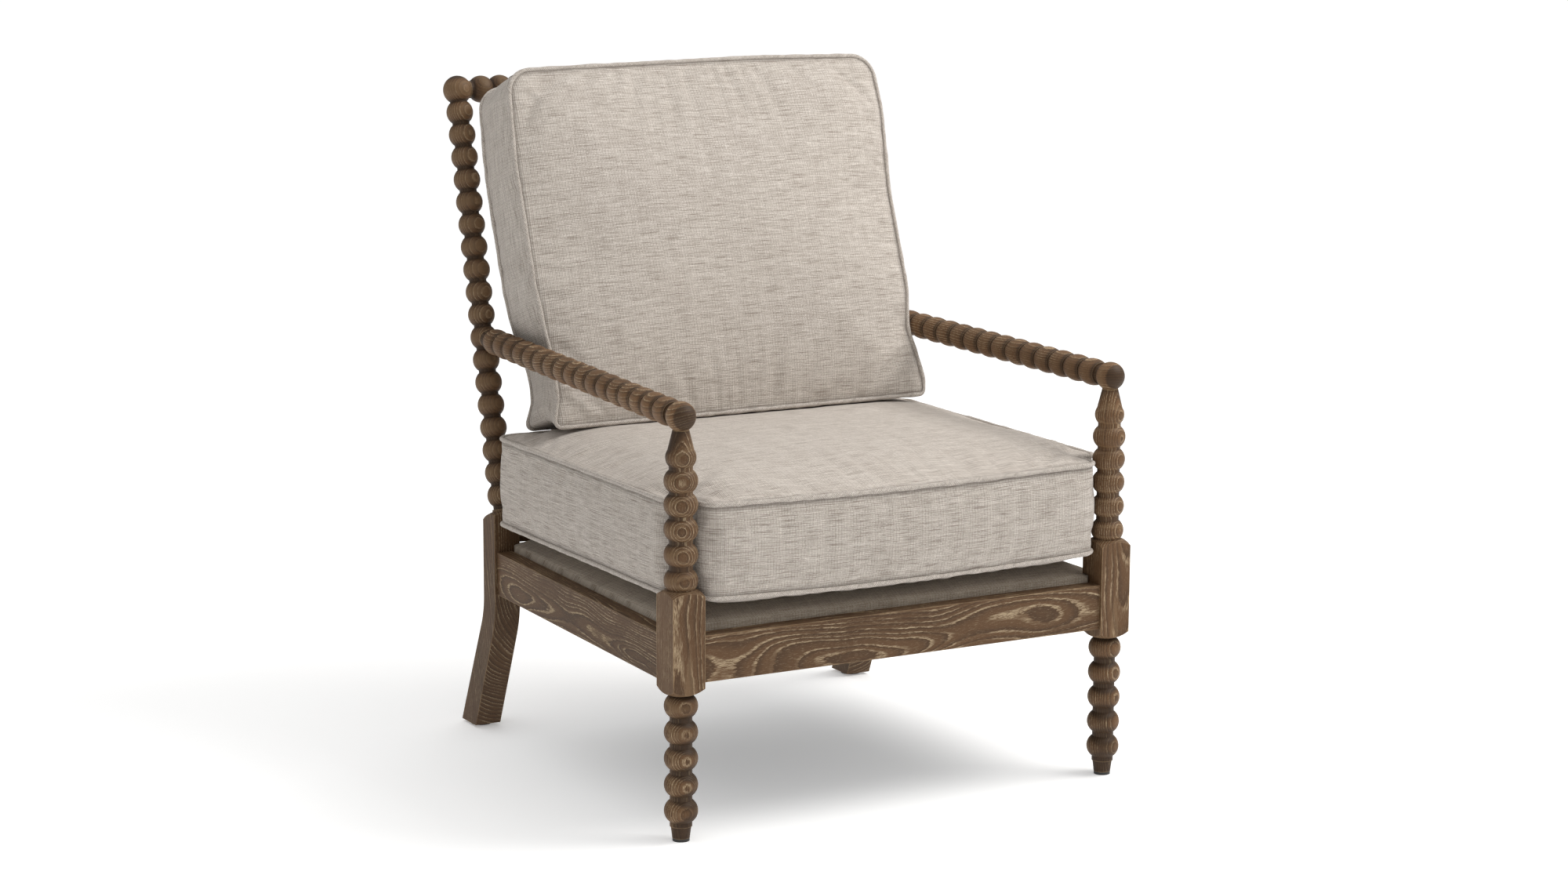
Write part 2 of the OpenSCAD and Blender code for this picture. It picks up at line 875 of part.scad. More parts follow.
back_zip_slider();
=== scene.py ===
import math
import bmesh
import bpy
import numpy as np
from mathutils import Matrix, Vector, noise


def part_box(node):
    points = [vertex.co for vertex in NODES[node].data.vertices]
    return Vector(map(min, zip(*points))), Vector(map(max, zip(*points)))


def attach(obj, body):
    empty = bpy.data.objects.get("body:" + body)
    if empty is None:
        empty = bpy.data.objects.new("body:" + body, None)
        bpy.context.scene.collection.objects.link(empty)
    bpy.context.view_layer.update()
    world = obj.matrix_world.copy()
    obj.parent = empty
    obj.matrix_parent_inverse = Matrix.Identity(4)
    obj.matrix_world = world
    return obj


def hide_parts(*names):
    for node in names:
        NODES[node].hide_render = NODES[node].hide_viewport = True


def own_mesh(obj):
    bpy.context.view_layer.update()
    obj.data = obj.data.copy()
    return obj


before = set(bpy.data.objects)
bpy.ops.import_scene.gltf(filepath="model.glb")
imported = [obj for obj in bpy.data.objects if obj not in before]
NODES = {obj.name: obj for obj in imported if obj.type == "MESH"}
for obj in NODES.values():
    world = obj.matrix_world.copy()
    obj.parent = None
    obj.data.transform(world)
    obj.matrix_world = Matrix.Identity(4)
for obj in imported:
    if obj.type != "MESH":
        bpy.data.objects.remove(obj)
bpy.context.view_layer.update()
scene = bpy.context.scene
scene.view_settings.view_transform = "Standard"
PI = math.pi
HOME = Matrix.Identity(4)


# ---------------------------------------------------------------- camera, floor and light

def look(location, yaw, pitch, roll, lens):
    data = bpy.data.cameras.new("camera")
    data.lens = lens
    data.sensor_width = 36.0
    cam = bpy.data.objects.new("camera", data)
    scene.collection.objects.link(cam)
    turn = Matrix.Rotation(math.radians(yaw), 4, "Z") @ Matrix.Rotation(math.radians(pitch), 4, "X")
    cam.matrix_world = Matrix.Translation(location) @ turn @ Matrix.Rotation(math.radians(roll), 4, "Z")
    scene.camera = cam


def lamp(name, kind, location, aim, energy, colour=(1, 1, 1), **settings):
    """A lamp at location that faces aim."""
    data = bpy.data.lights.new(name, kind)
    data.energy = energy
    data.color = colour
    for key, value in settings.items():
        setattr(data, key, value)
    ob = bpy.data.objects.new(name, data)
    ob.location = location
    ob.rotation_euler = (Vector(aim) - Vector(location)).to_track_quat("-Z", "Y").to_euler()
    scene.collection.objects.link(ob)


def studio(strength, seen_strength):
    """An even surround that lights the chair at one strength and is seen at another, near white."""
    world = bpy.data.worlds.new("studio")
    world.use_nodes = True
    nodes, links = world.node_tree.nodes, world.node_tree.links
    ambient, seen = nodes["Background"], nodes.new("ShaderNodeBackground")
    ambient.inputs[0].default_value = (1.0, 0.997, 0.99, 1)
    ambient.inputs[1].default_value = strength
    seen.inputs[0].default_value = (1.0, 1.0, 1.0, 1)
    seen.inputs[1].default_value = seen_strength
    either = nodes.new("ShaderNodeMixShader")
    links.new(nodes.new("ShaderNodeLightPath").outputs["Is Camera Ray"], either.inputs[0])
    links.new(ambient.outputs[0], either.inputs[1])
    links.new(seen.outputs[0], either.inputs[2])
    links.new(either.outputs[0], nodes["World Output"].inputs[0])
    scene.world = world


look((-2.4548, -4.3673, 1.3801), -29.62, 79.45, 0.28, 81.4)
studio(0.36, 1.1)
lamp("key", "AREA", (1.75, -1.05, 2.65), (0, 0, 0.5), 58, (1.0, 0.985, 0.965), shape="DISK", size=1.9)
lamp("overhead", "SUN", (0.3, -0.2, 3.0), (0, 0, 0), 1.35, angle=math.radians(110))


# ---------------------------------------------------------------- node helpers

class Graph:
    """A material's nodes, added by short calls."""

    def __init__(self, name, colour):
        self.mat = bpy.data.materials.new(name)
        self.mat.use_nodes = True
        self.mat.diffuse_color = (*colour, 1)
        self.tree = self.mat.node_tree
        self.bsdf = self.tree.nodes["Principled BSDF"]
        self.bsdf.inputs["Base Color"].default_value = (*colour, 1)

    def put(self, socket, value):
        if isinstance(value, bpy.types.NodeSocket):
            self.tree.links.new(value, socket)
        elif value is not None:
            socket.default_value = value

    def math(self, op, a, b=None, c=None, clamp=False):
        n = self.tree.nodes.new("ShaderNodeMath")
        n.operation = op
        n.use_clamp = clamp
        for socket, value in zip(n.inputs, (a, b, c)):
            self.put(socket, value)
        return n.outputs[0]

    def times(self, a, b, clamp=False):
        return self.math("MULTIPLY", a, b, clamp=clamp)

    def plus(self, a, b, clamp=False):
        return self.math("ADD", a, b, clamp=clamp)

    def vec(self, op, a, b=None, scale=None):
        n = self.tree.nodes.new("ShaderNodeVectorMath")
        n.operation = op
        self.put(n.inputs[0], a)
        self.put(n.inputs[1], b)
        if scale is not None:
            self.put(n.inputs["Scale"], scale)
        return n.outputs["Value"] if op in ("DOT_PRODUCT", "LENGTH") else n.outputs[0]

    def xyz(self, x, y, z):
        n = self.tree.nodes.new("ShaderNodeCombineXYZ")
        for socket, value in zip(n.inputs, (x, y, z)):
            self.put(socket, value)
        return n.outputs[0]

    def stretched(self, parts, factors, last=0.0):
        """A place for a noise: each part times its factor, and last as z where there are only two."""
        axes = [self.times(part, factor) for part, factor in zip(parts, factors)]
        return self.xyz(*axes, *([last] if len(axes) == 2 else []))

    def split(self, v):
        n = self.tree.nodes.new("ShaderNodeSeparateXYZ")
        self.put(n.inputs[0], v)
        return n.outputs

    def noise(self, vector, scale=1.0, detail=2.0, rough=0.5, colour=False):
        n = self.tree.nodes.new("ShaderNodeTexNoise")
        self.put(n.inputs["Vector"], vector)
        n.inputs["Scale"].default_value = scale
        n.inputs["Detail"].default_value = detail
        n.inputs["Roughness"].default_value = rough
        return n.outputs["Color" if colour else "Fac"]

    def white(self, vector):
        n = self.tree.nodes.new("ShaderNodeTexWhiteNoise")
        self.put(n.inputs["Vector"], vector)
        return n.outputs["Value"]

    def step(self, value, low, high, to_low=0.0, to_high=1.0):
        n = self.tree.nodes.new("ShaderNodeMapRange")
        n.interpolation_type = "SMOOTHSTEP"
        for socket, v in zip(n.inputs, (value, low, high, to_low, to_high)):
            self.put(socket, v)
        return n.outputs[0]

    def mix(self, fac, a, b):
        n = self.tree.nodes.new("ShaderNodeMix")
        n.data_type = "RGBA"
        self.put(n.inputs[0], fac)
        self.put(n.inputs[6], (*a, 1) if isinstance(a, tuple) else a)
        self.put(n.inputs[7], (*b, 1) if isinstance(b, tuple) else b)
        return n.outputs[2]

    def bump(self, height, distance, strength=1.0, normal=None):
        n = self.tree.nodes.new("ShaderNodeBump")
        n.inputs["Strength"].default_value = strength
        n.inputs["Distance"].default_value = distance
        self.put(n.inputs["Height"], height)
        self.put(n.inputs["Normal"], normal)
        return n.outputs[0]

    def place(self):
        return self.tree.nodes.new("ShaderNodeTexCoord").outputs["Object"]

    def attribute(self, name):
        n = self.tree.nodes.new("ShaderNodeAttribute")
        n.attribute_name = name
        return n.outputs["Fac"]

    def uv(self):
        n = self.tree.nodes.new("ShaderNodeUVMap")
        n.uv_map = "weave"
        return n.outputs[0]

    def set(self, **values):
        for key, value in values.items():
            self.put(self.bsdf.inputs[key.replace("_", " ")], value)


def shaded(colour, by):
    return tuple(c * by for c in colour)


# ---------------------------------------------------------------- oak

BROWN = (0.109, 0.0565, 0.0252)
DARK = (0.040, 0.021, 0.010)
LIME = (0.43, 0.328, 0.208)
# the pale colour of rubbed wear on edges, also used as the painted highlight on bead crests
WORN_AND_HIGHLIGHT = (0.35, 0.236, 0.130)
RIM_START, RIM_END = 0.0230, 0.0234   # no crest is paled, by rubbed wear and painted highlight, past these radii, so square blocks stay brown
MIRROR_SHIFT = 0.731                  # how far apart along the grain a left-hand piece and its twin are cut


def oak(name, origin, along, pith, tone=1.0, grooves=None, mirrored=True, wrap=None, lime=1.0, spacing=0.0036,
        warp=1.0, seed=0.0):
    """Limed oak. origin and along place the grain's axis, pith is the middle of the growth rings from it, and
    grooves are the turning's radii between which painted shade darkens the wood."""
    g = Graph(name, shaded(BROWN, tone))
    e3 = Vector(along).normalized()
    e1 = (Vector((1, 0, 0)) - e3 * e3.x if abs(e3.x) < 0.7 else Vector((0, 1, 0)) - e3 * e3.y).normalized()
    e2 = e3.cross(e1)
    x, y, z = g.split(g.place())
    side = g.math("GREATER_THAN", x, 0.0) if mirrored else 0.0
    if mirrored:
        x = g.math("ABSOLUTE", x)
    if wrap:
        x = g.math("WRAP", x, wrap / 2, -wrap / 2)
    here = g.vec("SUBTRACT", g.xyz(x, y, z), tuple(origin))
    u, v, w = (g.vec("DOT_PRODUCT", here, tuple(e)) for e in (e1, e2, e3))
    w = g.plus(w, g.times(side, MIRROR_SHIFT))
    w = g.plus(w, seed)
    axis_r = g.vec("LENGTH", g.xyz(u, v, 0.0))
    # slow wander of the rings along the grain, which draws cathedrals on flat faces
    wander = g.noise(g.stretched((u, v, w), (9.0, 9.0, 4.2)), 1.0, 1.5, 0.45, colour=True)
    wander = g.vec("SCALE", g.vec("SUBTRACT", wander, (0.5, 0.5, 0.5)), scale=0.034 * warp)
    ring_at = g.vec("ADD", g.xyz(g.math("SUBTRACT", u, pith[0]), g.math("SUBTRACT", v, pith[1]), 0.0), wander)
    rx, ry, _ = g.split(ring_at)
    ring_r = g.vec("LENGTH", g.xyz(rx, ry, 0.0))
    rough_edge = g.noise(g.stretched((u, v, w), (420.0, 420.0, 60.0)), 1.0, 2.0, 0.6)
    phase = g.plus(g.math("DIVIDE", ring_r, spacing), g.times(rough_edge, 0.45))
    uneven = g.noise(g.stretched((ring_r, w), (130.0, 2.0)), 1.0, 1.0)
    phase = g.plus(phase, g.times(uneven, 1.6))
    t = g.math("FRACT", phase)
    band = g.times(g.step(t, 0.0, 0.06), g.step(t, 0.16, 0.32, 1.0, 0.0))
    fine = g.noise(g.stretched((u, v, w), (1700.0, 1700.0, 130.0)), 1.0, 3.0, 0.65)
    patches = g.noise(g.stretched((u, v, w), (34.0, 34.0, 15.0)), 1.0, 2.0, 0.6)
    pores = g.step(fine, 0.42, 0.54)
    limed = g.times(band, g.times(pores, g.step(patches, 0.38, 0.58, 0.10, 1.0)))
    loose = g.times(g.step(fine, 0.56, 0.7), 0.42)
    limed = g.times(g.math("MAXIMUM", limed, loose), 0.95 * lime, clamp=True)
    # the wood under the lime
    wide = g.noise(g.stretched((u, v, w), (7.0, 7.0, 3.0)), 1.0, 2.0, 0.5)
    late = g.step(t, 0.5, 0.95)
    body = shaded(BROWN, tone)
    shade = g.mix(g.step(wide, 0.3, 0.72), shaded(body, 0.82), shaded(body, 1.22))
    shade = g.mix(g.times(late, 0.55), shade, shaded(DARK, tone))
    shade = g.mix(g.step(fine, 0.38, 0.2, 0.0, 0.5), shade, shaded(DARK, tone))
    shade = g.mix(limed, shade, shaded(LIME, 0.35 + 0.65 * tone))
    if grooves:
        # painted shade: the wood darkens in the grooves between the beads
        deep = g.step(axis_r, grooves[0], grooves[1], 0.72, 0.0)
        # each bead's crest is paler, partly rubbed wear and partly a painted highlight
        crest_wear_and_highlight = g.step(axis_r, grooves[1], grooves[1] + 0.0025, 0.0, 0.22)
        crest_wear_and_highlight = g.times(crest_wear_and_highlight, g.step(axis_r, RIM_START, RIM_END, 1.0, 0.0))
        shade = g.mix(crest_wear_and_highlight, shade, shaded(WORN_AND_HIGHLIGHT, 0.8 * tone))
        shade = g.mix(deep, shade, shaded(DARK, 0.5))
    # edges rubbed pale
    rub = g.tree.nodes.new("ShaderNodeAmbientOcclusion")
    rub.inside = True
    rub.samples = 6
    rub.inputs["Distance"].default_value = 0.0022
    edge = g.step(rub.outputs["AO"], 0.5, 0.82, 1.0, 0.0)
    edge = g.times(edge, g.step(patches, 0.3, 0.6, 0.35, 0.85))
    shade = g.mix(edge, shade, shaded(WORN_AND_HIGHLIGHT, tone))
    soft = g.tree.nodes.new("ShaderNodeBevel")
    soft.samples = 4
    soft.inputs["Radius"].default_value = 0.0011
    height = g.math("SUBTRACT", g.times(fine, 0.5), g.times(limed, 0.7))
    rough = g.plus(g.step(limed, 0.0, 0.6, 0.50, 0.74), g.times(fine, 0.12))
    g.set(Base_Color=shade, Roughness=rough, Normal=g.bump(height, 0.00035, 0.55, soft.outputs[0]))
    g.bsdf.inputs["Specular IOR Level"].default_value = 0.24
    return g.mat


def slots_to(material, *names):
    for n in names:
        ob = NODES[n]
        if not ob.data.materials:
            ob.data.materials.append(material)
        for s in ob.material_slots:
            s.link = "OBJECT"
            s.material = material


def middle(node):
    lo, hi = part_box(node)
    return (lo + hi) / 2


RAKE = math.radians(14.75)          # the back posts lean back
SPLAY = math.radians(0.73)          # and in towards the top
POST_LEN, POST_PITCH = 0.619, 0.0331
ARM_BEAD = 11                       # the arm meets this bead, counted down from the post's ball
POST_BASE = 0.335                   # the level of its foot, and of the spindles'
SPINDLE_GAP = 0.10567               # from one spindle to the next

leg, rear = middle("front_leg_right"), middle("rear_leg_right")
arm_front = Vector((leg.x, leg.y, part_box("arm_right")[0].z + 0.0187))
post_up = Vector((-math.cos(RAKE) * math.sin(SPLAY), math.sin(RAKE), math.cos(RAKE)))
post_foot = Vector((rear.x - 0.002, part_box("rear_leg_right")[0].y + 0.0195, POST_BASE))
arm_rear = post_foot + post_up * (POST_LEN - ARM_BEAD * POST_PITCH)
spindle_foot = Vector((0, post_foot.y, post_foot.z))
spindle_up = Vector((0, math.sin(RAKE), math.cos(RAKE)))

slots_to(oak("oak_leg", leg, (0.012, 0.02, 1), (0.014, -0.064), 1.12, (0.0152, 0.0200), lime=0.85, warp=1.2,
             seed=0.2), "front_leg_left", "front_leg_right")
slots_to(oak("oak_rear_leg", rear, (0, 0.18, 1), (-0.03, -0.09), 0.80, lime=0.8, seed=1.4),
         "rear_leg_left", "rear_leg_right")
slots_to(oak("oak_post", post_foot, post_up, (0.012, 0.058), 1.08, (0.0128, 0.0168), lime=0.5, warp=1.2,
             seed=2.1), "back_post_left", "back_post_right")
slots_to(oak("oak_arm", arm_front, arm_rear - arm_front, (-0.012, 0.052), 1.28, (0.0154, 0.0178), lime=0.8,
             warp=1.3, seed=3.2), "arm_left", "arm_right", "screw_plugs")
slots_to(oak("oak_top_rail", middle("top_rail"), (1, 0, 0), (-0.05, 0.05), 0.98, (0.0128, 0.0172),
             mirrored=False, lime=0.6, seed=4.3), "top_rail")
slots_to(oak("oak_spindle", spindle_foot, spindle_up, (0.03, 0.06), 0.9, (0.0092, 0.0142), mirrored=False,
             wrap=SPINDLE_GAP, seed=5.1), *[f"back_spindle_{k}" for k in range(1, 6)])
slots_to(oak("oak_cross_rail", middle("front_rail"), (1, 0.012, 0.03), (0.035, -0.012), 0.97, mirrored=False,
             spacing=0.0040, warp=1.5, lime=1.22, seed=6.4), "front_rail", "back_rail", "spindle_rail")
slots_to(oak("oak_side_rail", middle("side_rail_right"), (-0.035, 1, 0.02), (0.030, 0.018), 0.88, lime=1.3,
             spacing=0.0042, warp=1.5, seed=7.7), "side_rail_left", "side_rail_right")


# ---------------------------------------------------------------- plain materials

def plain_wood(name, colour):
    g = Graph(name, colour)
    x, y, z = g.split(g.place())
    streak = g.noise(g.stretched((x, y, z), (260.0, 30.0, 260.0)), 1.0, 3.0, 0.6)
    shade = g.mix(g.step(streak, 0.35, 0.7), colour, shaded(colour, 0.66))
    g.set(Base_Color=shade, Roughness=g.step(streak, 0.3, 0.7, 0.6, 0.78), Normal=g.bump(streak, 0.0004, 0.4))
    return g.mat


def metal(name, colour, rough):
    g = Graph(name, colour)
    grain = g.noise(g.place(), 900.0, 3.0, 0.6)
    g.set(Base_Color=g.mix(g.step(grain, 0.3, 0.75), colour, shaded(colour, 0.72)), Metallic=1.0,
          Roughness=g.step(grain, 0.3, 0.7, rough, rough + 0.16), Normal=g.bump(grain, 0.0001, 0.3))
    return g.mat


def glide_plastic():
    g = Graph("black_glide", (0.02, 0.019, 0.018))
    grain = g.noise(g.place(), 1400.0, 2.0, 0.5)
    g.set(Base_Color=g.mix(grain, (0.014, 0.013, 0.012), (0.032, 0.03, 0.028)),
          Roughness=g.step(grain, 0.2, 0.8, 0.42, 0.6), Normal=g.bump(grain, 0.0002, 0.35))
    return g.mat


def foam(name, colour):
    g = Graph(name, colour)
    cells = g.noise(g.place(), 700.0, 4.0, 0.7)
    g.set(Base_Color=g.mix(g.step(cells, 0.4, 0.6), shaded(colour, 0.8), colour), Roughness=0.95,
          Normal=g.bump(cells, 0.0008, 0.6))
    return g.mat


slots_to(plain_wood("softwood", (0.56, 0.40, 0.23)), "rail_dowels",
         *[f"corner_block_{end}_{side}" for end in ("front", "rear") for side in ("left", "right")],
         *[f"deck_frame_{edge}" for edge in ("front", "rear", "left", "right")])
slots_to(metal("zinc_screw", (0.62, 0.60, 0.55), 0.3), "corner_block_screws", "deck_screws", "arm_screws")
slots_to(metal("spring_wire", (0.42, 0.42, 0.43), 0.28), "seat_springs", "spring_clips")
slots_to(metal("zip_nickel", (0.55, 0.55, 0.54), 0.25), "seat_zip_slider", "back_zip_slider")
slots_to(glide_plastic(), "front_glides", "rear_glides")


# ---------------------------------------------------------------- linen

THREAD = 0.00235     # from one thread to the next
WANDER = 0.0030      # how far the threads stray from straight


def linen(name, light, dark, slub=1.0):
    """Basket weave in the metres of the weave map: thick and thin threads, slubs along u, painted shade
    beside the seams.
    """
    g = Graph(name, light)
    u, v, _ = g.split(g.uv())
    wob = g.noise(g.stretched((u, v), (34.0, 34.0)), 1.0, 2.0, 0.5, colour=True)
    wu, wv, _ = g.split(wob)
    u2 = g.plus(u, g.times(wu, WANDER))
    v2 = g.plus(v, g.times(wv, WANDER))
    a, b = g.math("DIVIDE", u2, THREAD), g.math("DIVIDE", v2, THREAD)
    ia, ib = g.math("FLOOR", a), g.math("FLOOR", b)
    warp = g.math("ABSOLUTE", g.math("SINE", g.times(a, PI)))
    weft = g.math("ABSOLUTE", g.math("SINE", g.times(b, PI)))
    over = g.math("ABSOLUTE", g.math("MODULO", g.plus(ia, ib), 2.0))
    over = g.step(over, 0.2, 0.8)
    up = g.times(warp, g.plus(g.times(weft, 0.5), 0.5))
    across = g.times(weft, g.plus(g.times(warp, 0.5), 0.5))
    inv = g.math("SUBTRACT", 1.0, over)
    height = g.plus(g.times(up, over), g.times(across, inv))
    # each thread's own tint, drifting slowly along it
    tint_a = g.noise(g.stretched((ia, v), (3.71, 22.0), 1.7), 1.0, 1.0)
    tint_b = g.noise(g.stretched((u, ib), (22.0, 3.71), 8.3), 1.0, 1.0)
    tint = g.plus(g.times(tint_a, over), g.times(tint_b, inv))
    speck = g.white(g.xyz(ia, ib, 0.0))
    slubs = g.noise(g.stretched((u, v), (27.0, 900.0), 3.0), 1.0, 3.0, 0.55)
    pale = g.noise(g.stretched((u, v), (80.0, 700.0), 13.0), 1.0, 2.0, 0.55)
    rib = g.math("ABSOLUTE", g.math("SINE", g.times(u2, PI / (2 * THREAD))))
    drift = g.noise(g.stretched((u, v), (9.0, 230.0), 5.0), 1.0, 2.0)
    wide = g.noise(g.stretched((u, v), (5.0, 9.0), 9.0), 1.0, 2.0)
    depth = g.step(height, 0.12, 0.75)
    value = g.plus(g.times(depth, 0.48), 0.08)
    value = g.plus(value, g.times(g.step(tint, 0.3, 0.7), 0.24))
    value = g.plus(value, g.times(speck, 0.20))
    value = g.plus(value, g.step(rib, 0.0, 0.5, -0.19, 0.04))
    value = g.plus(value, g.step(drift, 0.35, 0.65, -0.080, 0.065))
    value = g.plus(value, g.times(g.math("SUBTRACT", wide, 0.5), 0.10), clamp=True)
    shade = g.mix(value, dark, light)
    shade = g.mix(g.step(pale, 0.56, 0.70, 0.0, 0.45), shade, tuple(min(c * 1.22, 0.9) for c in light))
    marks = g.times(g.step(slubs, 0.49, 0.67), 0.62 * slub)
    shade = g.mix(marks, shade, (dark[0] * 0.62, dark[1] * 0.56, dark[2] * 0.52))
    # painted shade in the crease beside each seam
    seam_shade = g.attribute("seam_shade")
    shade = g.mix(g.times(seam_shade, 0.62), shade, shaded(dark, 0.30))
    bump = g.math("SUBTRACT", height, g.times(marks, 0.5))
    normal = g.bump(bump, 0.0009, 0.55)
    g.set(Base_Color=shade, Roughness=g.step(height, 0.0, 1.0, 0.97, 0.84), Normal=normal)
    g.bsdf.inputs["Sheen Weight"].default_value = 0.16
    g.bsdf.inputs["Sheen Roughness"].default_value = 0.5
    g.bsdf.inputs["Specular IOR Level"].default_value = 0.22
    return g.mat


LIGHT_THREAD = (0.685, 0.628, 0.568)
DARK_THREAD = (0.325, 0.276, 0.232)
LINEN = linen("linen_panel", LIGHT_THREAD, DARK_THREAD)
# the boxing and the piping are the panels' own linen, painted darker as shade
LINEN_BOXING_SHADED = linen("linen_boxing_shaded", shaded(LIGHT_THREAD, 0.93), shaded(DARK_THREAD, 0.90), 1.1)
LINEN_WELT_SHADED = linen("linen_welt_shaded", shaded(LIGHT_THREAD, 0.93), shaded(DARK_THREAD, 0.9), 0.6)


# ---------------------------------------------------------------- mesh helpers

def add_object(name, mesh, *materials):
    ob = bpy.data.objects.new(name, mesh)
    scene.collection.objects.link(ob)
    for m in materials:
        mesh.materials.append(m)
    return ob


def mesh_from(name, verts, faces):
    mesh = bpy.data.meshes.new(name)
    mesh.from_pydata([tuple(v) for v in verts], [], faces)
    mesh.update()
    return mesh


def coords(mesh):
    co = np.empty(len(mesh.vertices) * 3)
    mesh.vertices.foreach_get("co", co)
    return co.reshape(-1, 3)


def set_coords(mesh, co):
    mesh.vertices.foreach_set("co", np.ascontiguousarray(co, float).ravel())
    mesh.update()


def evaluated(ob):
    """ob's mesh with its modifiers applied."""
    dg = bpy.context.evaluated_depsgraph_get()
    dg.update()
    return bpy.data.meshes.new_from_object(ob.evaluated_get(dg))


def read(items, name):
    """One whole number of each item, as an array."""
    out = np.empty(len(items), int)
    items.foreach_get(name, out)
    return out


def smooth(mesh):
    mesh.polygons.foreach_set("use_smooth", [True] * len(mesh.polygons))


def rounded(points, radii, step=0.006):
    """A closed outline through points with each corner rounded, sampled about every step."""
    out = []
    n = len(points)
    for k in range(n):
        p, q, r = (np.array(points[(k + d) % n], float) for d in (-1, 0, 1))
        a, b = (p - q) / np.linalg.norm(p - q), (r - q) / np.linalg.norm(r - q)
        angle = math.acos(np.clip(a @ b, -1, 1))
        cut = radii[k] / math.tan(angle / 2)
        start, end = q + a * cut, q + b * cut
        centre = q + (a + b) / np.linalg.norm(a + b) * radii[k] / math.sin(angle / 2)
        t0 = math.atan2(*(start - centre)[::-1])
        t1 = math.atan2(*(end - centre)[::-1])
        sweep = (t1 - t0 + PI) % (2 * PI) - PI
        m = max(4, int(abs(sweep) * radii[k] / step))
        out += [centre + radii[k] * np.array([math.cos(t0 + sweep * i / m), math.sin(t0 + sweep * i / m)])
                for i in range(m + 1)]
    dense = []
    for k in range(len(out)):
        p, q = out[k], out[(k + 1) % len(out)]
        m = max(1, int(np.linalg.norm(q - p) / step))
        dense += [p + (q - p) * i / m for i in range(m)]
    return np.array(dense)


def to_outline(points, outline):
    """For each 2D point: signed distance inside the outline, length along it, and the nearest place."""
    a = outline
    b = np.roll(outline, -1, axis=0)
    seg = b - a
    length = np.linalg.norm(seg, axis=1)
    along = lengths(outline)[:-1]
    best = np.full(len(points), 1e9)
    s = np.zeros(len(points))
    nearest = np.zeros((len(points), 2))
    for k in range(len(a)):
        if length[k] < 1e-9:
            continue
        t = np.clip(((points - a[k]) @ seg[k]) / length[k] ** 2, 0, 1)
        q = a[k] + t[:, None] * seg[k]
        d = np.linalg.norm(points - q, axis=1)
        hit = d < best
        best[hit] = d[hit]
        s[hit] = along[k] + t[hit] * length[k]
        nearest[hit] = q[hit]
    inside = np.zeros(len(points), bool)
    for k in range(len(a)):
        x0, y0, x1, y1 = *a[k], *b[k]
        cross = ((y0 > points[:, 1]) != (y1 > points[:, 1]))
        with np.errstate(divide="ignore", invalid="ignore"):
            xs = (x1 - x0) * (points[:, 1] - y0) / (y1 - y0) + x0
        inside ^= cross & (points[:, 0] < xs)
    return np.where(inside, best, -best), s, nearest


def lengths(loop):
    """How far along a closed loop each of its points is, with the whole way round last."""
    return np.concatenate([[0], np.cumsum(np.linalg.norm(np.roll(loop, -1, 0) - loop, axis=1))])


def plan_normals(loop):
    """The outward normal at each point of a closed loop in plan."""
    tangent = np.roll(loop, -1, 0) - np.roll(loop, 1, 0)
    tangent /= np.maximum(np.linalg.norm(tangent, axis=1), 1e-9)[:, None]
    return np.stack([tangent[:, 1], -tangent[:, 0]], 1)


def resample(outline, count):
    """count evenly spaced points round the outline."""
    closed = np.vstack([outline, outline[:1]])
    s = lengths(outline)
    t = np.linspace(0, s[-1], count, endpoint=False)
    return np.stack([np.interp(t, s, closed[:, k]) for k in (0, 1)], 1)


def offset(outline, by):
    return outline + by * plan_normals(outline)


def noise_at(points, scale, seed):
    return np.array([noise.noise(Vector(p) * scale + Vector((seed, seed * 0.7, seed * 1.3))) for p in points])


def smoothstep(x, a, b):
    t = np.clip((x - a) / (b - a), 0, 1)
    return t * t * (3 - 2 * t)


# ---------------------------------------------------------------- cushions

VOXEL = 0.006
PANEL_EDGE = 0.0045      # a remeshed point within this of a panel's level belongs to the panel
SEAM_HELD = 0.0065       # cloth this near a seam is held while the cushion is blown up
PRESSURE, SHRINK, LAST_FRAME = 3.5, -0.02, 20
SEAM_PULL = 0.95         # how far the cloth beside a seam is drawn onto its line
CORE_INSET, CORE_FACES = 0.0035, 0.12
WELT_R, WELT_SIDES, WELT_RIPPLE = 0.0031, 10, 0.0004
BIAS = 0.7071            # welt cloth is cut at 45 degrees


def declare(ob, body, node):
    """Says what a cushion's piece rides on and the node it stands for."""
    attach(ob, body)
    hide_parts(node)
    if body == "back_cushion":
        # the arms press its wider foot in when the seat cushion lifts it
        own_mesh(ob)


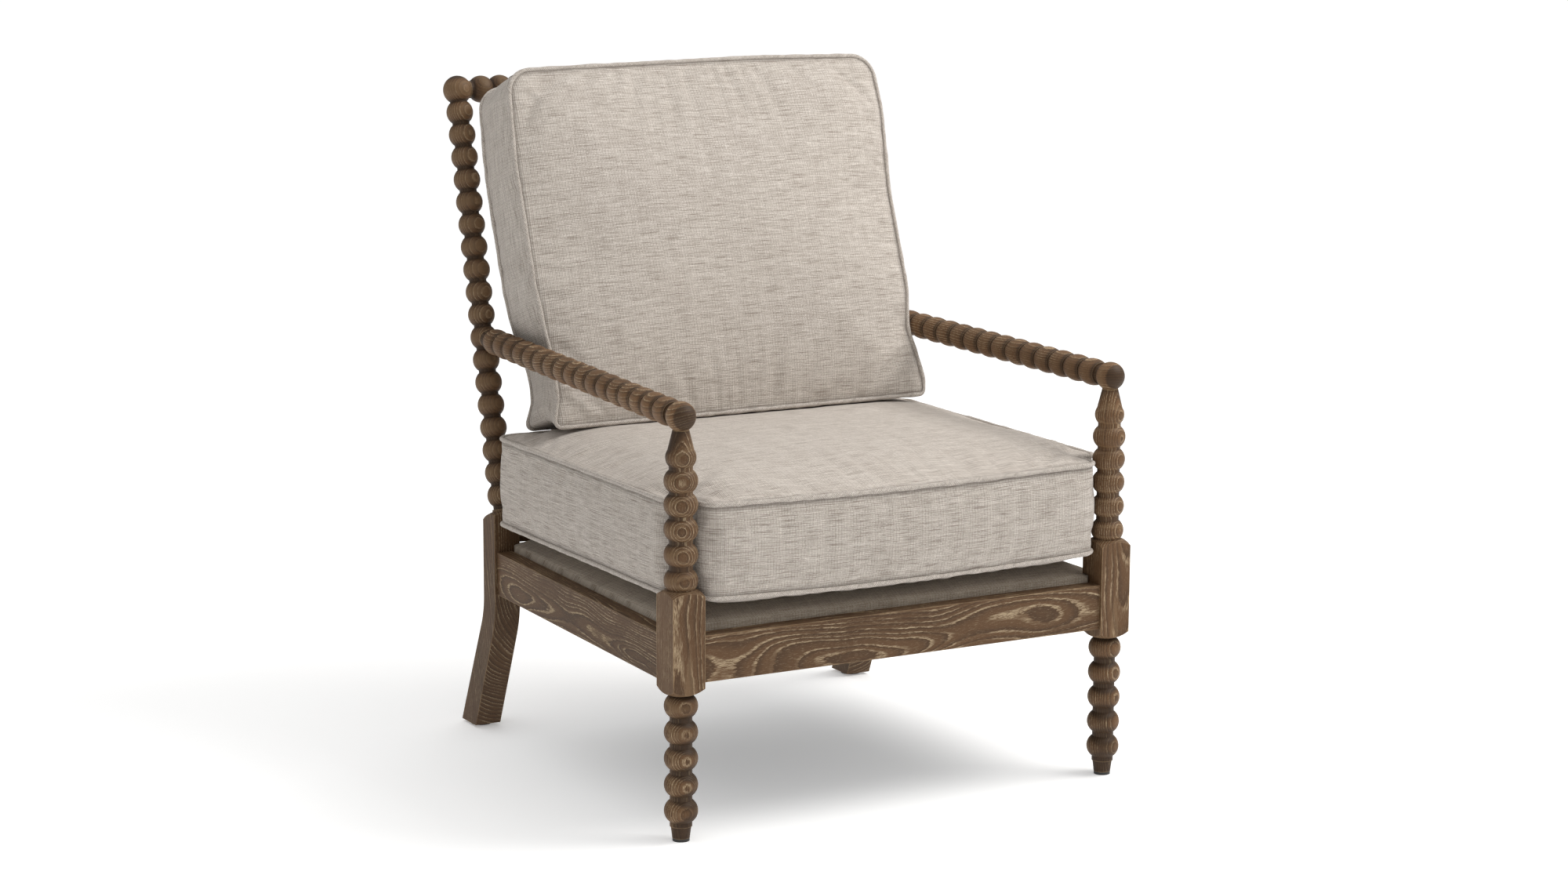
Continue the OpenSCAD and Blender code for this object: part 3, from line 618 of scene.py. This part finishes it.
class Cushion:
    """A boxed cushion in its own frame: its plan is the outline, and z runs from one panel to the other."""

    def __init__(self, name, outline, low, high):
        self.name, self.outline, self.low, self.high = name, outline, low, high
        n = len(outline)
        verts = [(*p, low) for p in outline] + [(*p, high) for p in outline]
        faces = [list(range(n))[::-1], list(range(n, 2 * n))]
        faces += [[k, (k + 1) % n, n + (k + 1) % n, n + k] for k in range(n)]
        raw = add_object(name + "_raw", mesh_from(name + "_raw", verts, faces))
        mod = raw.modifiers.new("remesh", "REMESH")
        mod.mode = "VOXEL"
        mod.voxel_size = VOXEL
        self.mesh = evaluated(raw)
        bpy.data.objects.remove(raw)
        self.p0 = coords(self.mesh)
        inside, self.s, self.nearest = to_outline(self.p0[:, :2], outline)
        self.d = np.maximum(inside, 0)
        self.top = self.p0[:, 2] > high - PANEL_EDGE
        self.bottom = self.p0[:, 2] < low + PANEL_EDGE
        self.side = ~(self.top | self.bottom)
        self.to_seam = np.minimum(self.to_edge(high), self.to_edge(low))

    def to_edge(self, level):
        """How far each vertex starts from the seam at that level."""
        return np.hypot(self.d, self.p0[:, 2] - level)

    def side_normals(self):
        """The outline's outward normal, at each vertex's nearest place on it."""
        i = np.clip(np.searchsorted(lengths(self.outline)[:-1], self.s) - 1, 0, len(self.outline) - 1)
        return plan_normals(self.outline)[i]

    def puckers(self, q, height, spacing, wander, seed):
        """Small gathers across the seams, fading out over the panels."""
        place = np.c_[self.s * wander, q[:, 2], q[:, 2] * 0]
        wave = np.sin(self.s * 2 * PI / spacing + 3.0 * noise_at(place, 1.0, seed))
        fade = np.exp(-self.to_seam / 0.014) * smoothstep(self.to_seam, 0.002, 0.008)
        return height * wave * fade

    def simulate(self, shape, caps):
        """Blows the cushion up from shape, with its seams held, and caps how far each part may go."""
        p = shape.copy()
        set_coords(self.mesh, p)
        ob = add_object(self.name + "_cloth", self.mesh.copy())
        group = ob.vertex_groups.new(name="pin")
        for i in np.nonzero(self.to_seam < SEAM_HELD)[0]:
            group.add([int(i)], 1.0, "ADD")
        cloth = ob.modifiers.new("cloth", "CLOTH")
        cs = cloth.settings
        cs.quality = 4
        cs.mass = 0.35
        cs.tension_stiffness = cs.compression_stiffness = 12
        cs.shear_stiffness = 5
        cs.bending_stiffness = 0.6
        cs.use_pressure = True
        cs.uniform_pressure_force = PRESSURE
        cs.shrink_min = cs.shrink_max = SHRINK
        cs.vertex_group_mass = "pin"
        cs.effector_weights.gravity = 0
        cloth.collision_settings.use_collision = False
        cloth.point_cache.frame_start, cloth.point_cache.frame_end = 1, LAST_FRAME
        for f in range(1, LAST_FRAME + 1):
            scene.frame_set(f)
        q = coords(evaluated(ob))
        scene.frame_set(1)
        bpy.data.objects.remove(ob)
        move = q - p
        far = np.linalg.norm(move, axis=1)
        limit = np.maximum(caps, 1e-6)
        scale = np.where(far > 1e-9, limit * np.tanh(far / limit) / np.maximum(far, 1e-9), 0)
        return p + move * scale[:, None]

    def draw_in(self, q, low_line, high_line):
        """Pulls the cloth beside each seam onto its line, so that it meets the piping."""
        for level, line in ((self.low, low_line), (self.high, high_line)):
            w = SEAM_PULL * (1 - smoothstep(self.to_edge(level), 0.0025, 0.0090))
            q += (line - q) * w[:, None]
        return q

    def dress(self, p, place, body, node):
        mesh = self.mesh
        set_coords(mesh, p)
        loop_vert = read(mesh.loops, "vertex_index")
        start, total = read(mesh.polygons, "loop_start"), read(mesh.polygons, "loop_total")
        face_of = np.repeat(np.arange(len(start)), total)
        tops = np.add.reduceat(self.top[loop_vert].astype(int), start) == total
        lows = np.add.reduceat(self.bottom[loop_vert].astype(int), start) == total
        panel = (tops | lows)[face_of]
        perimeter = lengths(self.outline)[-1]
        s = self.s[loop_vert]
        s0 = s[start][face_of]
        s = s - perimeter * np.round((s - s0) / perimeter)
        uv = np.where(panel[:, None], self.p0[loop_vert][:, :2], np.stack([s, self.p0[loop_vert][:, 2]], 1))
        mesh.uv_layers.new(name="weave").data.foreach_set("uv", uv.ravel())
        mesh.polygons.foreach_set("material_index", np.where(tops | lows, 0, 1))
        # how much painted shade the cloth takes beside each seam
        seam_shade = 1 - smoothstep(self.to_seam, 0.0035, 0.0085)
        mesh.attributes.new("seam_shade", "FLOAT", "POINT").data.foreach_set("value", seam_shade)
        ob = add_object(self.name, mesh, LINEN, LINEN_BOXING_SHADED)
        mod = ob.modifiers.new("sub", "SUBSURF")
        mod.levels = mod.render_levels = 1
        fine = evaluated(ob)
        ob.modifiers.clear()
        ob.data = fine
        fine.transform(place)
        smooth(fine)
        declare(ob, body, node)

    def core(self, p, place, body, node, material):
        """The foam: the cover's shape, shrunk along its normals."""
        mesh = self.mesh.copy()
        mesh.materials.clear()
        set_coords(mesh, p)
        normals = np.empty(len(mesh.vertices) * 3)
        mesh.vertices.foreach_get("normal", normals)
        ob = add_object(node + "_core", mesh, material)
        mesh.polygons.foreach_set("material_index", [0] * len(mesh.polygons))
        set_coords(mesh, p - normals.reshape(-1, 3) * CORE_INSET)
        mod = ob.modifiers.new("less", "DECIMATE")
        mod.ratio = CORE_FACES
        small = evaluated(ob)
        ob.modifiers.clear()
        ob.data = small
        small.transform(place)
        smooth(small)
        declare(ob, body, node)


def welt(name, path, place, body, node, seed):
    """Self-fabric piping round a closed path, its cloth on the bias."""
    path = np.asarray(path, float)
    n = len(path)
    tangent = np.roll(path, -1, 0) - np.roll(path, 1, 0)
    tangent /= np.linalg.norm(tangent, axis=1)[:, None]
    out = np.cross(tangent, np.array([0, 0, 1.0]))
    out /= np.linalg.norm(out, axis=1)[:, None]
    rise = np.cross(out, tangent)
    length = lengths(path)
    wob = 1 + WELT_RIPPLE / WELT_R * 2.2 * noise_at(path, 55.0, seed)
    step = 2 * PI * WELT_R / WELT_SIDES
    verts, faces, uvs = [], [], []
    for k in range(n):
        for j in range(WELT_SIDES):
            a = 2 * PI * j / WELT_SIDES
            verts.append(path[k] + WELT_R * wob[k] * (math.cos(a) * out[k] + math.sin(a) * rise[k]))
            here, ahead = k * WELT_SIDES, (k + 1) % n * WELT_SIDES
            i = (j + 1) % WELT_SIDES
            faces.append([here + j, here + i, ahead + i, ahead + j])
            for kk, jj in ((k, j), (k, j + 1), (k + 1, j + 1), (k + 1, j)):
                uvs.append(((length[kk] + jj * step) * BIAS, (length[kk] - jj * step) * BIAS))
    mesh = mesh_from(name, verts, faces)
    mesh.uv_layers.new(name="weave").data.foreach_set("uv", np.array(uvs).ravel())
    mesh.transform(place)
    smooth(mesh)
    declare(add_object(name, mesh, LINEN_WELT_SHADED), body, node)


def seat_cushion():
    """T-shaped: its nose fills the gap between the front posts and its wings go behind them."""
    lo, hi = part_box("seat_top_welt")
    wide, front, back = hi.x - 0.004, lo.y + 0.004, hi.y - 0.004
    nose, wing = 0.3075, -0.3370
    corners = [(-nose, front), (nose, front), (nose, wing), (wide, wing), (wide, back), (-wide, back),
               (-wide, wing), (-nose, wing)]
    outline = rounded(corners, [0.023, 0.023, 0.012, 0.017, 0.020, 0.020, 0.017, 0.012])
    low = (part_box("seat_bottom_welt")[0].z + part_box("seat_bottom_welt")[1].z) / 2
    high = (lo.z + hi.z) / 2
    droop, rest = 0.0065, 0.3129        # the front edge's sag, and the deck's level
    c = Cushion("seat_cushion", outline, low, high)

    def sag(at):
        """The front edge hangs a few millimetres between the posts."""
        t = np.clip((at[:, 2] - low) / (high - low), 0, 1)
        near = 1 - smoothstep(at[:, 1], front + 0.02, front + 0.11)
        return -(droop - 0.002 * t) * near * np.clip(np.cos(PI * at[:, 0] / (2 * nose)), 0, 1)

    p = c.p0.copy()
    x, y = p[:, 0], p[:, 1]
    crown = np.sin(PI / 2 * np.clip(c.d / 0.25, 0, 1)) ** 0.62
    p[:, 2] += np.where(c.top, 0.0175 * crown, 0)
    p[:, 2] -= np.where(c.bottom, 0.0132 * np.sin(PI / 2 * np.clip(c.d / 0.045, 0, 1)) ** 0.75, 0)
    t = (c.p0[:, 2] - low) / (high - low)
    rear = smoothstep(y, 0.165, 0.180)
    p[:, 2] += sag(p)
    caps = np.where(c.top, 0.012, np.where(c.bottom, 0.002, 0.006 * (1 - rear)))
    q = c.simulate(p, caps)
    # soft unevenness, and puckers along the seams
    slow, mid = noise_at(q, 7.0, 3.1), noise_at(q, 19.0, 9.7)
    lift = 0.0016 * slow * smoothstep(c.d, 0, 0.05) + 0.0004 * mid * smoothstep(c.d, 0, 0.02)
    q[:, 2] += np.where(c.top, lift + c.puckers(q, 0.00045, 0.021, 9, 5.0), 0)
    # folds that fan out from the notch round each front post
    for s in (-1, 1):
        notch = np.array([s * nose, wing])
        rel = c.p0[:, :2] - notch
        r = np.hypot(rel[:, 0], rel[:, 1])
        a = np.arctan2(rel[:, 1], -s * rel[:, 0])
        fan = np.sin(a * 8.5 + 1.2 * s) * np.exp(-((r - 0.045) / 0.038) ** 2) * smoothstep(c.d, 0.004, 0.02)
        q[:, 2] += np.where(c.top, 0.0021 * fan, 0)
    bulge = np.sin(PI * np.clip(t, 0, 1)) * (1 - rear)
    side_lift = (0.0030 + 0.0012 * slow) * bulge + 0.0006 * mid * bulge
    q[:, :2] += np.where(c.side, side_lift, 0)[:, None] * c.side_normals()
    q[:, 1] = np.where(c.side & (y > 0.17), np.minimum(q[:, 1], back - 0.0003), q[:, 1])
    lines = [np.c_[c.nearest, np.full(len(q), level)] for level in (low, high)]
    for line in lines:
        line[:, 2] += sag(line)
    q = c.draw_in(q, *lines)
    # it rests on the deck, hangs a little over the rail, and takes the back cushion's weight
    hang = (1 - smoothstep(y, -0.365, -0.32)) * np.clip(np.cos(PI * x / (2 * nose)), 0, 1)
    q[:, 2] = np.where(c.bottom, np.maximum(q[:, 2], rest - droop * hang), q[:, 2])
    roof = np.minimum(0.4778 - 0.193 * (y - 0.0645), 0.4835)
    blend, base = 0.0011, 0.46          # the lower of the two, with the corner between them rounded
    soft = -blend * np.log(np.exp(-(q[:, 2] - base) / blend) + np.exp(-(roof - base) / blend)) + base
    q[:, 2] = np.where(c.top, soft, q[:, 2])
    c.dress(q, HOME, "seat_cushion", "seat_cover")
    c.core(q, HOME, "seat_cushion", "seat_foam", FOAM)
    xy = resample(outline, 900)
    for name, level, node, seed in (("seat_top_piping", high, "seat_top_welt", 2.0),
                                    ("seat_bottom_piping", low, "seat_bottom_welt", 6.0)):
        z = level + 0.0009 * noise_at(np.c_[xy, xy[:, :1] * 0], 6.0, seed)
        z = z + sag(np.c_[xy, z])
        welt(name, np.c_[offset(xy, 0.0008), z], HOME, "seat_cushion", node, seed)


def back_cushion():
    """Its frame: x across, y up the cushion, z towards the sitter."""
    def taper(xh, t):
        """Narrower at the back and where the arms hold it, and lifted off the seat's rear seam."""
        arms = np.exp(-((xh[:, 1] - 0.060) / 0.075) ** 2)
        out = xh.copy()
        out[:, 0] *= 1 - t * (0.014 + 0.037 * arms)
        out[:, 1] += 0.0148 * smoothstep(t, 0, 0.42) * (1 - smoothstep(xh[:, 1], 0.0, 0.12))
        return out

    lean = math.radians(18.3)
    place = Matrix(((1, 0, 0, 0),
                    (0, math.sin(lean), -math.cos(lean), 0.0686),
                    (0, math.cos(lean), math.sin(lean), 0.491),
                    (0, 0, 0, 1)))
    deep = 0.113
    corners = [(-0.3055, -0.010), (0.3045, -0.010), (0.3075, 0.012), (0.3020, 0.050),
               (0.2940, 0.090), (0.3035, 0.150), (0.299, 0.305), (0.308, 0.424),
               (0.302, 0.508), (0.10, 0.512), (-0.298, 0.506), (-0.3065, 0.374),
               (-0.304, 0.189), (-0.2950, 0.090), (-0.2945, 0.030), (-0.3025, 0.004)]
    outline = rounded(corners, [0.009, 0.008, 0.03, 0.08, 0.06, 0.10, 0.4, 0.3,
                                0.036, 2.0, 0.036, 0.4, 0.4, 0.08, 0.03, 0.02])
    c = Cushion("back_cushion", outline, -deep, 0.0)
    p = c.p0.copy()
    x, h, depth = p[:, 0].copy(), p[:, 1].copy(), -p[:, 2].copy()
    crown = np.sin(PI / 2 * np.clip(c.d / 0.25, 0, 1)) ** 0.82
    p[:, 2] += np.where(c.top, 0.026 * crown, 0) - np.where(c.bottom, 0.009 * crown, 0)
    arms = np.exp(-((h - 0.085) / 0.05) ** 2)
    t = np.clip(depth / deep, 0, 1)
    p[:, :2] = taper(p[:, :2], t)
    foot = 1 - smoothstep(h, -0.010, 0.0)
    caps = np.where(c.top, 0.009, np.where(c.bottom, 0.006, 0.006 * (1 - foot)))
    caps = caps * (1 - 0.85 * arms * (c.side | (c.d < 0.02)))
    q = c.simulate(p, caps)
    slow, mid = noise_at(q, 6.5, 13.0), noise_at(q, 17.0, 4.4)
    lift = 0.0026 * slow * smoothstep(c.d, 0, 0.06) + 0.0004 * mid * smoothstep(c.d, 0, 0.02) \
        + c.puckers(q, 0.0005, 0.023, 8, 15.0)
    # the crease that runs up from the lower right corner, and a softer one at the left
    for side, depth_of, reach in ((1, 0.0042, 0.10), (-1, 0.0022, 0.07)):
        u = (side * x - 0.262) * 0.55 + (h - 0.055) * 0.83
        v = -(side * x - 0.262) * 0.83 + (h - 0.055) * 0.55
        lift -= depth_of * np.exp(-(v / 0.011) ** 2) * np.exp(-(u / (reach * 0.55)) ** 2)
    q[:, 2] += np.where(c.top, lift, 0) - np.where(c.bottom, 0.4 * lift, 0)
    bulge = np.sin(PI * t) * (1 - foot)
    side_lift = (0.0015 + 0.0016 * slow + 0.0006 * mid) * bulge * (1 - 0.8 * arms)
    q[:, :2] += np.where(c.side, side_lift, 0)[:, None] * c.side_normals()
    q = c.draw_in(q, np.c_[taper(c.nearest, 1.0), np.full(len(q), -deep)], np.c_[c.nearest, np.zeros(len(q))])
    under = taper(np.c_[x, np.full(len(x), -0.0105)], t)[:, 1]
    q[:, 1] = np.where(c.side & (h < 0.0), np.maximum(q[:, 1], under), q[:, 1])
    rear_limit = -(deep + 0.0155)
    q[:, 2] = np.maximum(q[:, 2], rear_limit)
    c.dress(q, place, "back_cushion", "back_cover")
    c.core(q, place, "back_cushion", "back_fill", FOAM)
    xy = resample(outline, 860)
    for name, level, node, seed, t in (("back_front_piping", 0.0, "back_front_welt", 21.0, 0.0),
                                       ("back_rear_piping", -deep, "back_rear_welt", 27.0, 1.0)):
        path = offset(taper(xy, t), 0.0006 - 0.0008 * t)
        z = level + 0.0010 * noise_at(np.c_[xy, xy[:, :1] * 0], 6.0, seed)
        welt(name, np.c_[path, z], place, "back_cushion", node, seed)


FOAM = foam("cushion_foam", (0.80, 0.72, 0.50))
seat_cushion()
back_cushion()


# ---------------------------------------------------------------- deck and dust cover

DECK_EDGE = 0.288


def cut_plan(outline, cell):
    """A flat sheet of the outline, cut into cells."""
    bm = bmesh.new()
    bm.faces.new([bm.verts.new((*p, 0)) for p in outline])
    lo, hi = outline.min(0), outline.max(0)
    for axis in (0, 1):
        for at in np.arange(lo[axis] + cell, hi[axis], cell):
            normal = Vector((1, 0, 0)) if axis == 0 else Vector((0, 1, 0))
            point = Vector((at, 0, 0)) if axis == 0 else Vector((0, at, 0))
            bmesh.ops.bisect_plane(bm, geom=bm.verts[:] + bm.edges[:] + bm.faces[:], plane_co=point,
                                   plane_no=normal)
    return bm


def frame_plan():
    """On the right: the front leg's inner and rear faces, the rear leg's inner and front ones, and where
    the side rail's inner face is."""
    return (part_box("front_rail")[1].x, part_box("front_leg_right")[1].y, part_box("back_rail")[1].x,
            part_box("rear_leg_right")[0].y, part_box("side_rail_right")[0].x)


def finished(bm, name):
    mesh = bpy.data.meshes.new(name)
    bm.to_mesh(mesh)
    bm.free()
    return mesh


def weave_map(bm, uv_of):
    layer = bm.loops.layers.uv.new("weave")
    for f in bm.faces:
        for loop in f.loops:
            loop[layer].uv = uv_of(loop.vert.co)


def deck_outline(inset):
    """The plan inside the rails, stepped round each leg block."""
    lo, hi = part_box("deck_cover")
    leg_in, leg_back, rear_in, rear_front, rail_in = frame_plan()
    g = 0.001 + inset
    right = [(leg_in - g, lo.y + inset), (leg_in - g, leg_back + g), (hi.x - inset, leg_back + g),
             (rail_in - g, rear_front - g), (rear_in - g, rear_front - g), (rear_in - g, hi.y - inset)]
    return right + [(-x, y) for x, y in right[::-1]]


def deck_rise(co, outline, top):
    """How far the deck swells above its edge: it stays low under the rail that holds the spindles."""
    d = np.minimum(to_outline(co, outline)[0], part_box("spindle_rail")[0].y - 0.001 - co[:, 1])
    return (top - DECK_EDGE) * np.sin(PI / 2 * np.clip(d / 0.085, 0, 1)) ** 0.9


def deck():
    outline = rounded(deck_outline(0.0004), [0.004] * 12, 0.012)
    bm = cut_plan(outline, 0.012)
    co = np.array([v.co[:2] for v in bm.verts])
    low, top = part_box("deck_cover")[0].z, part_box("deck_cover")[1].z
    for v, dz, p in zip(bm.verts, deck_rise(co, outline, top - 0.0012), co):
        v.co.z = DECK_EDGE + dz + min(0.03 * dz, 0.0009) * noise.noise(Vector((*p, 0)) * 14)
    rim = [e for e in bm.edges if e.is_boundary]
    grown = bmesh.ops.extrude_edge_only(bm, edges=rim)["geom"]
    for v in grown:
        if isinstance(v, bmesh.types.BMVert):
            v.co.z = low + 0.0005
    bmesh.ops.recalc_face_normals(bm, faces=bm.faces[:])
    weave_map(bm, lambda co: (co.x, co.y + co.z))
    mesh = finished(bm, "deck_sheet")
    smooth(mesh)
    ob = add_object("deck_sheet", mesh, linen("linen_deck", (0.50, 0.43, 0.35), (0.20, 0.16, 0.12), 0.7))
    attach(ob, "frame")
    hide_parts("deck_cover")


def deck_pad():
    outline = rounded(deck_outline(0.004), [0.004] * 12, 0.014)
    bm = cut_plan(outline, 0.02)
    co = np.array([v.co[:2] for v in bm.verts])
    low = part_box("deck_pad")[0].z
    for v, dz in zip(bm.verts, deck_rise(co, outline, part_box("deck_cover")[1].z - 0.0035)):
        v.co.z = DECK_EDGE - 0.0025 + dz
    copy = bmesh.ops.duplicate(bm, geom=bm.verts[:] + bm.edges[:] + bm.faces[:])["geom"]
    for v in copy:
        if isinstance(v, bmesh.types.BMVert):
            v.co.z = low
    rims = [e for e in bm.edges if e.is_boundary]
    bmesh.ops.bridge_loops(bm, edges=rims)
    bmesh.ops.recalc_face_normals(bm, faces=bm.faces[:])
    mesh = finished(bm, "deck_pad_core")
    smooth(mesh)
    ob = add_object("deck_pad_core", mesh, FOAM)
    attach(ob, "frame")
    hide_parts("deck_pad")


def dust_cover():
    lo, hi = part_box("dust_cover")
    leg_in, leg_back, rear_in, rear_front, rail_in = frame_plan()
    right = [(leg_in - 0.002, lo.y + 0.001), (leg_in - 0.002, leg_back + 0.002),
             (hi.x - 0.001, leg_back + 0.002), (rail_in + 0.016, rear_front - 0.002),
             (rear_in - 0.002, rear_front - 0.002), (rear_in - 0.002, hi.y - 0.001)]
    outline = np.array(right + [(-x, y) for x, y in right[::-1]])
    bm = cut_plan(outline, 0.02)
    co = np.array([v.co[:2] for v in bm.verts])
    d = np.maximum(to_outline(co, outline)[0], 0)
    for v, k in zip(bm.verts, d):
        v.co.z = hi.z - 0.0005 - 0.0004 * min(k / 0.1, 1)
    weave_map(bm, lambda co: (co.x, co.y))
    mesh = finished(bm, "dust_sheet")
    g = Graph("black_cloth", (0.02, 0.02, 0.02))
    fibres = g.noise(g.place(), 900.0, 4.0, 0.7)
    g.set(Base_Color=g.mix(g.step(fibres, 0.4, 0.65), (0.012, 0.012, 0.012), (0.045, 0.045, 0.045)),
          Roughness=g.step(fibres, 0.3, 0.7, 0.8, 0.95), Normal=g.bump(fibres, 0.0004, 0.5))
    ob = add_object("dust_sheet", mesh, g.mat)
    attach(ob, "frame")
    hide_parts("dust_cover")


def zip_tape(name, node, tilt=0.0):
    """Woven tape with a nylon coil down its middle."""
    g = Graph(name, (0.50, 0.45, 0.38))
    x, y, z = g.split(g.place())
    mid = middle(node)
    across = g.plus(g.times(g.math("SUBTRACT", z, mid.z), math.cos(tilt)),
                    g.times(g.math("SUBTRACT", y, mid.y), math.sin(tilt)))
    off = g.math("ABSOLUTE", across)
    coil = g.step(off, 0.0022, 0.0026, 1.0, 0.0)
    teeth = g.math("ABSOLUTE", g.math("SINE", g.times(x, PI / 0.0016)))
    weave = g.math("ABSOLUTE", g.math("SINE", g.times(g.plus(x, across), PI / 0.0012)))
    shade = g.mix(weave, (0.40, 0.35, 0.29), (0.56, 0.50, 0.43))
    shade = g.mix(coil, shade, g.mix(teeth, (0.20, 0.17, 0.14), (0.62, 0.57, 0.50)))
    height = g.plus(g.times(coil, g.plus(teeth, 0.6)), g.times(weave, 0.2))
    g.set(Base_Color=shade, Roughness=g.step(coil, 0, 1, 0.85, 0.4), Normal=g.bump(height, 0.0008, 0.8))
    slots_to(g.mat, node)


deck()
deck_pad()
dust_cover()
zip_tape("seat_zip_tape", "seat_zipper")
zip_tape("back_zip_tape", "back_zipper", PI / 2)


# ---------------------------------------------------------------- floor

def floor():
    mesh = mesh_from("floor", [(-60, -60, 0), (60, -60, 0), (60, 60, 0), (-60, 60, 0)], [[0, 1, 2, 3]])
    g = Graph("pale_floor", (0.92, 0.92, 0.92))
    fine = g.noise(g.place(), 3.0, 2.0, 0.5)
    g.set(Base_Color=g.mix(fine, (0.915, 0.915, 0.912), (0.93, 0.93, 0.928)), Roughness=0.9)
    g.bsdf.inputs["Emission Color"].default_value = (1, 1, 1, 1)
    g.bsdf.inputs["Emission Strength"].default_value = 0.30
    add_object("floor", mesh, g.mat)


floor()
